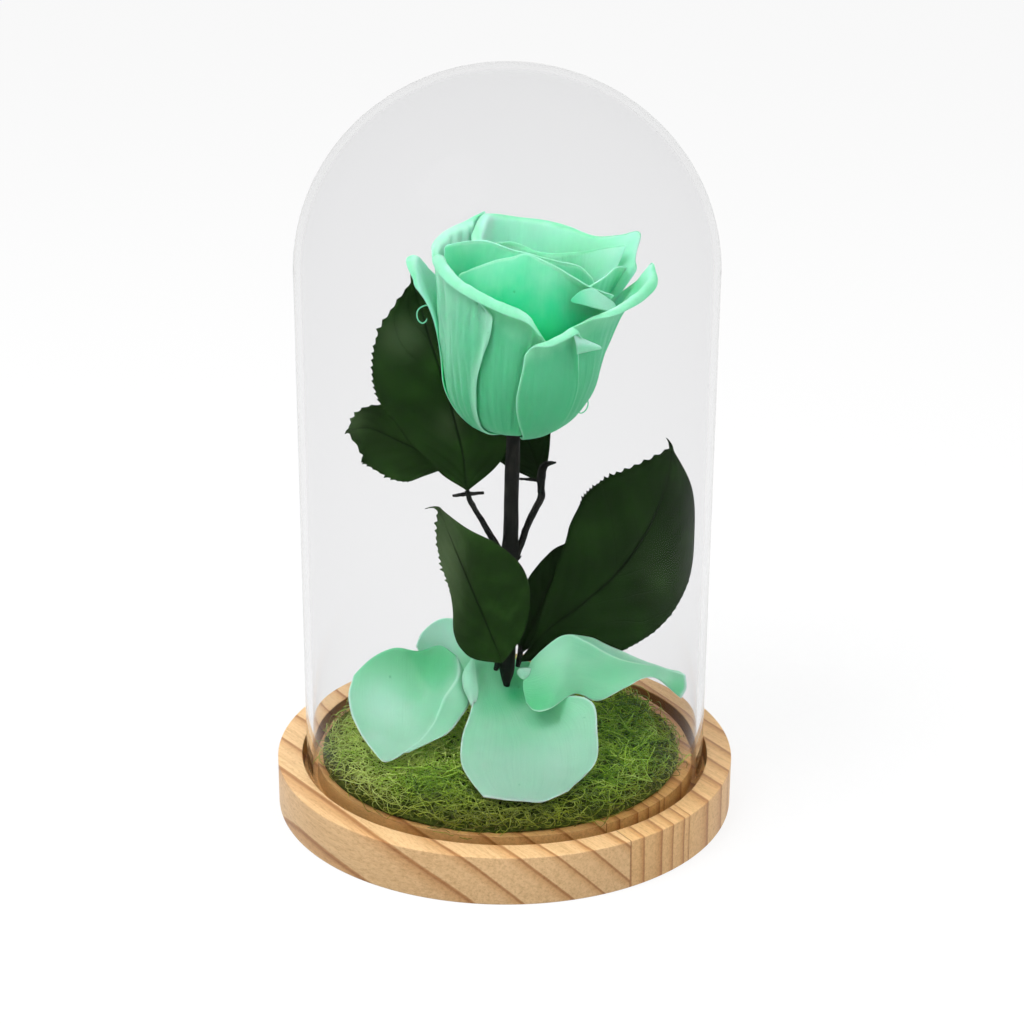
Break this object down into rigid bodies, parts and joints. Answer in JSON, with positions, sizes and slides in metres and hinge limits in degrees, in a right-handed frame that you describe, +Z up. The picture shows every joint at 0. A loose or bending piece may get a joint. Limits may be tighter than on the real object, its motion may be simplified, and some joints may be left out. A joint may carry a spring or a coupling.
{
  "type": "preserved rose in glass dome",
  "caption": "Mint-green rose with dark leaves on a mossy bed, fallen petals round its foot, under a clear glass dome that stands in the groove of a round pine base.",
  "frame": {"origin": "centre of the wooden base's underside", "axes": "+X right and +Z up as the picture shows the ornament, so -Y is its front"},
  "size_m": [0.12, 0.12, 0.1933],
  "materials": {
    "pine": "smooth, clear-varnished",
    "clear_glass": "clear, polished",
    "moss": "tangled dry fibres",
    "stem_bark": "dry, dark green-black skin",
    "leaf_green": "dry leaf, slight sheen",
    "rose_petal": "soft, velvety petal",
    "fallen_petal": "soft, velvety petal"
  },
  "bodies": {
    "root": {"wood_base": "pine", "glass_dome": "clear_glass", "moss_mat": "moss", "rose_stem": "stem_bark", "leaf_stalk_left": "stem_bark", "leaf_stalk_right": "stem_bark", "leaf_stalk_lower": "stem_bark", "leaf_stalk_lower_left": "stem_bark", "leaf_upper_large": "leaf_green", "leaf_upper_small": "leaf_green", "leaf_upper_right": "leaf_green", "leaf_lower_left": "leaf_green", "leaf_lower_right": "leaf_green", "leaf_lower_middle": "leaf_green", "petal_front_right": "rose_petal", "petal_right": "rose_petal", "petal_left": "rose_petal", "petal_back": "rose_petal", "petal_back_right": "rose_petal", "petal_inner_left": "rose_petal", "petal_inner_front": "rose_petal", "petal_inner_back": "rose_petal", "petal_heart_front": "rose_petal", "petal_heart_right": "rose_petal", "petal_heart_back": "rose_petal", "petal_heart_left": "rose_petal", "petal_bud_back": "rose_petal", "petal_bud_front": "rose_petal", "petal_bud_core": "rose_petal", "fallen_petal_left": "fallen_petal", "fallen_petal_back": "fallen_petal", "fallen_petal_front": "fallen_petal", "fallen_petal_right": "fallen_petal"}
  },
  "joints": []
}
